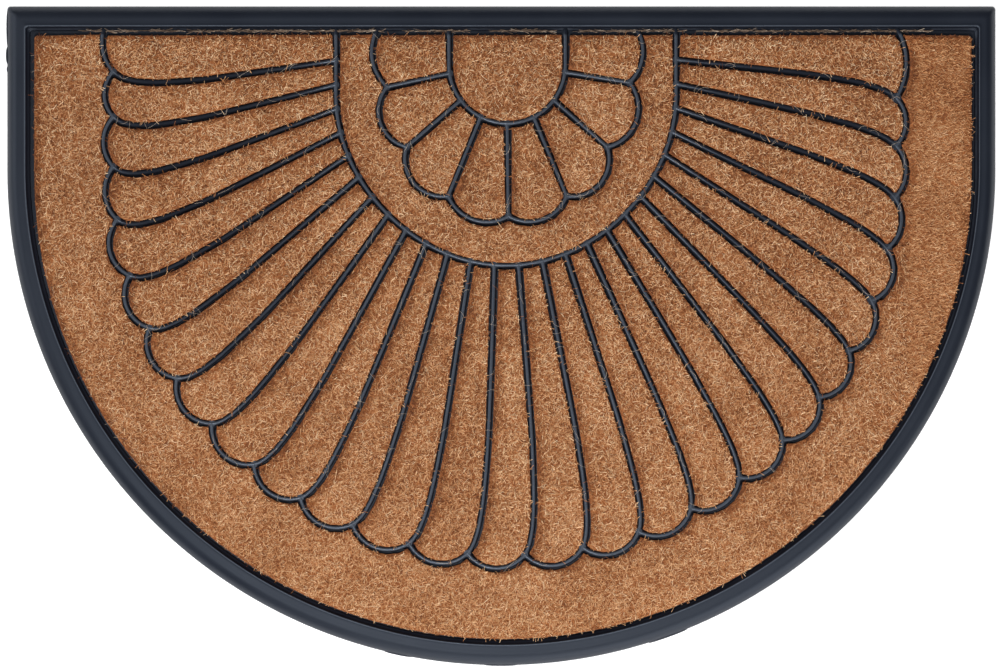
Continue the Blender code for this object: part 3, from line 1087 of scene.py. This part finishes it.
# %% A material that is built node by node
class Finish:
    """A material with one Principled shader."""

    def __init__(self, name):
        self.material = bpy.data.materials.new(name)
        self.material.use_nodes = True
        self.tree = self.material.node_tree
        self.shader = self.tree.nodes["Principled BSDF"]
        self.place = self.node("ShaderNodeTexCoord", output="Object")

    def node(self, kind, settings=None, inputs=None, output=0):
        node = self.tree.nodes.new(kind)
        for name, value in (settings or {}).items():
            if name == "stops":
                self.set_stops(node.color_ramp.elements, value)
            else:
                setattr(node, name, value)
        for name, value in (inputs or {}).items():
            self.feed(node.inputs[name], value)
        return Term(self, node.outputs[output])

    def feed(self, socket, value):
        if isinstance(value, Term):
            self.tree.links.new(value.socket, socket)
        else:
            socket.default_value = value

    def set_stops(self, elements, stops):
        while len(elements) < len(stops):
            elements.new(1.0)
        for element, (position, colour) in zip(elements, stops):
            element.position = position
            element.color = (*colour, 1.0)

    def noise(self, per_m, detail=3.0, place=None):
        inputs = {"Vector": place or self.place, "Scale": per_m, "Detail": detail}
        return self.node("ShaderNodeTexNoise", {}, inputs)

    def stretched(self, scale):
        """The place, drawn out so that noise on it turns into streaks."""
        return self.node("ShaderNodeMapping", {}, {"Vector": self.place, "Scale": scale})

    def clamped(self, value):
        return self.node("ShaderNodeClamp", {}, {"Value": value})

    def mix(self, share, first, second):
        settings = {"data_type": "RGBA", "clamp_factor": True}
        return self.node("ShaderNodeMix", settings, {0: share, 6: first, 7: second}, output=2)

    def ramp(self, value, stops):
        return self.node("ShaderNodeValToRGB", {"stops": stops}, {"Fac": value})

    def bump(self, height, strength, distance):
        return self.node("ShaderNodeBump", {}, {"Height": height, "Strength": strength, "Distance": distance})

    def set(self, **values):
        for name, value in values.items():
            self.feed(self.shader.inputs[name.replace("_", " ")], value)
        return self.material


print("ready to make finishes")

# %% [markdown]
# ## Moulded rubber
# The rubber is blue-black and satin. It left a steel mould, so its skin is even, with a very fine grain, a
# few faint cloudy patches where release powder stayed, and a roughness that wanders a little. The highest
# places, which are the lip and the crests of the ribs, are worn a little glossier, and their colour is paler
# there, partly from wear and partly as a painted highlight. The ribs are duller a millimetre or so below
# their crests. Cloud and grain are noise on Object coordinates, and the shares of wear, highlight and
# dullness follow from the height alone.

# %% Rubber
RUBBER = (0.0050, 0.0066, 0.0120, 1.0)
RUBBER_WORN = (0.0100, 0.0125, 0.0195, 1.0)
# Paler colour of the lip and the crests: partly wear, partly a painted highlight
RUBBER_WEAR_AND_HIGHLIGHT = (0.056, 0.066, 0.083, 1.0)
RUBBER_TINT = (0.74, 0.84, 1.0, 1.0)
RUBBER_IOR = 1.38
CLOUD_PER_M = 14
CLOUD_CONTRAST = 1.6
CLOUD_START = 0.4
CLOUD_ROUGHNESS = 0.14
GRAIN_PER_M = 1400
GRAIN_ROUGHNESS = 0.08
GRAIN_STRENGTH = 0.25
GRAIN_DEPTH = 0.15 * MM
WEAR_AND_HIGHLIGHT_LEAST = 0.3
RUBBED_GLOSS = 0.12
DULL_DEPTH = 1.5 * MM


def moulded_rubber(name, wear_and_highlight_from, wear_and_highlight_to, usual_roughness, dulling=0.0):
    """Rubber worn glossier between these two heights, paler there partly from wear and partly as painted
    highlight, duller a little below.
    """
    finish = Finish(name)
    finish.set(IOR=RUBBER_IOR, Specular_Tint=RUBBER_TINT)
    cloud = finish.noise(CLOUD_PER_M, detail=5.0)
    grain = finish.noise(GRAIN_PER_M, detail=2.0)
    height = finish.node("ShaderNodeSeparateXYZ", {}, {0: finish.place}, output="Z")
    wear_and_highlight = finish.clamped((height - wear_and_highlight_from) * (1 / (wear_and_highlight_to - wear_and_highlight_from)))
    sunk = finish.clamped((wear_and_highlight_from - height) * (1 / DULL_DEPTH))
    colour = finish.mix(cloud * CLOUD_CONTRAST - CLOUD_START, RUBBER, RUBBER_WORN)
    # Paler at the top: partly wear, partly a painted highlight on the lip and the crests
    colour = finish.mix(wear_and_highlight * (grain + WEAR_AND_HIGHLIGHT_LEAST), colour, RUBBER_WEAR_AND_HIGHLIGHT)
    least_roughness = usual_roughness - (CLOUD_ROUGHNESS + GRAIN_ROUGHNESS) / 2
    roughness = cloud * CLOUD_ROUGHNESS + grain * GRAIN_ROUGHNESS + least_roughness
    roughness = roughness - wear_and_highlight * RUBBED_GLOSS + sunk * dulling
    normal = finish.bump(grain, GRAIN_STRENGTH, GRAIN_DEPTH)
    return finish.set(Base_Color=colour, Roughness=roughness, Normal=normal)


rim_rubber = moulded_rubber(
    "rubber_of_rim",
    wear_and_highlight_from=12.2 * MM,
    wear_and_highlight_to=12.5 * MM,
    usual_roughness=0.45,
)
for piece in (rim, flashes):
    piece.data.materials.append(rim_rubber)
rib_rubber = moulded_rubber(
    "rubber_of_ribs",
    wear_and_highlight_from=10.4 * MM,
    wear_and_highlight_to=10.8 * MM,
    usual_roughness=0.35,
    dulling=0.45,
)
for piece in (fan_ribs, flower_ribs):
    piece.data.materials.append(rib_rubber)
print("nodes in the rubber:", len(rib_rubber.node_tree.nodes))

# %% [markdown]
# ## Coir
# Coir is the husk fibre of the coconut: red-brown where it is young and golden where it has dried, matt, with
# a weak silky gloss along each fibre. A ramp turns a bristle's tone into colour, and slow noise shifts whole
# patches towards red or gold. The pad under the bristles is the same fibre in shade, so it is darker.

# %% Bristle finish
COIR_STOPS = (
    (0.0, (0.130, 0.036, 0.009)),
    (0.25, (0.320, 0.102, 0.025)),
    (0.5, (0.555, 0.250, 0.094)),
    (0.75, (0.755, 0.442, 0.218)),
    (1.0, (0.940, 0.700, 0.440)),
)
BLEACHED_STOPS = (
    (0.0, (0.060, 0.034, 0.022)),
    (0.5, (0.300, 0.205, 0.140)),
    (1.0, (0.760, 0.640, 0.510)),
)
PATCH_PER_M = 16
PATCH = 0.32
SMALL_PATCH_PER_M = 70
SMALL_PATCH = 0.22
BRISTLE_ROUGHNESS = 0.62


def patches(finish):
    """A slow wander round zero that makes some areas redder and some more golden."""
    wide = finish.noise(PATCH_PER_M, detail=3.0) - 0.5
    small = finish.noise(SMALL_PATCH_PER_M, detail=2.0) - 0.5
    return wide * PATCH + small * SMALL_PATCH


def bristle_finish(name, stops):
    finish = Finish(name)
    tone = finish.node("ShaderNodeAttribute", {"attribute_name": "tone"}, output="Fac")
    colour = finish.ramp(tone + patches(finish), stops)
    return finish.set(Base_Color=colour, Roughness=BRISTLE_ROUGHNESS)


bristle_material = bristle_finish("coir_bristles", COIR_STOPS)
bleached_material = bristle_finish("coir_bleached", BLEACHED_STOPS)
for piece in bristles:
    loose = piece.name in ("stray_hairs", "ledge_fibres")
    piece.data.materials.append(bleached_material if loose else bristle_material)
print("pieces of bristles and hairs:", len(bristles))

# %% Pad finish
FIBRE_PER_M = 900
FIBRE_STRETCH = 0.35
FIBRE_CONTRAST = 0.6
FIBRE_STRENGTH = 0.8
FIBRE_DEPTH = 0.8 * MM
PAD_DARKER = 0.42
PAD_ROUGHNESS = 0.9


def pad_finish():
    """Streaks along and across, for the short fibres between the bristles."""
    finish = Finish("coir_pad")
    fibres = finish.noise(FIBRE_PER_M, place=finish.stretched((1.0, FIBRE_STRETCH, 1.0)))
    crossing = finish.noise(FIBRE_PER_M, place=finish.stretched((FIBRE_STRETCH, 1.0, 1.0)))
    tone = fibres * FIBRE_CONTRAST + crossing * FIBRE_CONTRAST + patches(finish) - PAD_DARKER
    colour = finish.ramp(tone, COIR_STOPS)
    normal = finish.bump(fibres + crossing, FIBRE_STRENGTH, FIBRE_DEPTH)
    return finish.set(Base_Color=colour, Roughness=PAD_ROUGHNESS, Normal=normal)


pad_material = pad_finish()
for pad in pads.values():
    pad.data.materials.append(pad_material)
print("finishes:", [material.name for material in bpy.data.materials])

# %% [markdown]
# ## Floor and light
# The mat lies on a white table under soft lamps, with nothing dark round it, so the outer slope of the rim
# mirrors the table. The table glows a little, to come out as white as in the picture. A wide lamp stands low
# beyond the round edge and lights the foot and the ribs there. A very large one, far off at the left, lights
# the mat as a window does. A small one hangs above, whose reflection is the fine light along the lip.

# %% Floor
FLOOR_SIDE = 40.0
FLOOR_DROP = 0.3 * MM
FLOOR_ROUGHNESS = 0.7
FLOOR_GLOW = 0.4
WHITENESS = 0.9
SPECKLE = 0.02
SPECKLE_PER_M = 300
WHITE = (1.0, 1.0, 1.0, 1.0)


def make_floor():
    bm = bmesh.new()
    bmesh.ops.create_grid(bm, x_segments=1, y_segments=1, size=FLOOR_SIDE / 2)
    bmesh.ops.translate(bm, verts=bm.verts, vec=-FLOOR_DROP * UP)
    floor = piece_from(bm, "floor")
    finish = Finish("white_table")
    speckle = finish.noise(SPECKLE_PER_M) * SPECKLE + WHITENESS
    colour = finish.node("ShaderNodeCombineColor", {}, {0: speckle, 1: speckle, 2: speckle})
    finish.set(Base_Color=colour, Roughness=FLOOR_ROUGHNESS)
    finish.set(Emission_Color=WHITE, Emission_Strength=FLOOR_GLOW)
    floor.data.materials.append(finish.material)
    return floor


floor = make_floor()
print("floor:", FLOOR_SIDE, "m square")

# %% Lamps
Lamp = namedtuple("Lamp", "name x y z size power")
LAMPS = (
    Lamp("lamp_above", x=-0.2, y=-0.75, z=3.0, size=0.55, power=35),
    Lamp("lamp_front", x=0.7, y=-2.2, z=0.8, size=3.0, power=90),
    Lamp("lamp_left", x=-6.5, y=1.5, z=4.8, size=7.0, power=420),
)
SKY_STRENGTH = 0.24
SKY_COLOUR = (0.95, 0.97, 1.0, 1.0)


def make_lamp(row):
    """A square lamp that looks at the middle of the mat."""
    data = bpy.data.lights.new(row.name, "AREA")
    data.size = row.size
    data.energy = row.power
    lamp = bpy.data.objects.new(row.name, data)
    bpy.context.scene.collection.objects.link(lamp)
    lamp.location = (row.x, row.y, row.z)
    lamp.rotation_euler = (-lamp.location).to_track_quat("-Z", "Y").to_euler()


for row in LAMPS:
    make_lamp(row)
world = bpy.data.worlds.new("studio")
world.use_nodes = True
sky = world.node_tree.nodes["Background"]
sky.inputs["Strength"].default_value = SKY_STRENGTH
sky.inputs["Color"].default_value = SKY_COLOUR
bpy.context.scene.world = world
bpy.context.scene.view_settings.view_transform = "Standard"
print("lamps:", len(LAMPS))

# %% [markdown]
# ## Tie the pieces to the mat
# Every piece rides on the one body, and the plain solids that the pieces dress are hidden. The last line
# works out the area of the mat's flat outline: a half disc and the straight strip above it.

# %% Rides, hidden solids and the mat's area
BODY = "root"

for piece in (rim, flashes, fan_ribs, flower_ribs):
    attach(piece, BODY)
    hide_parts("rubber_base")
for name, pad in pads.items():
    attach(pad, BODY)
    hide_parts(name)
for piece in bristles:
    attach(piece, BODY)

half_disc = math.pi * MAT_EDGE.radius**2 / 2
straight_part = 2 * MAT_EDGE.radius * (MAT_EDGE.top - MAT_EDGE.y)
half_disc + straight_part
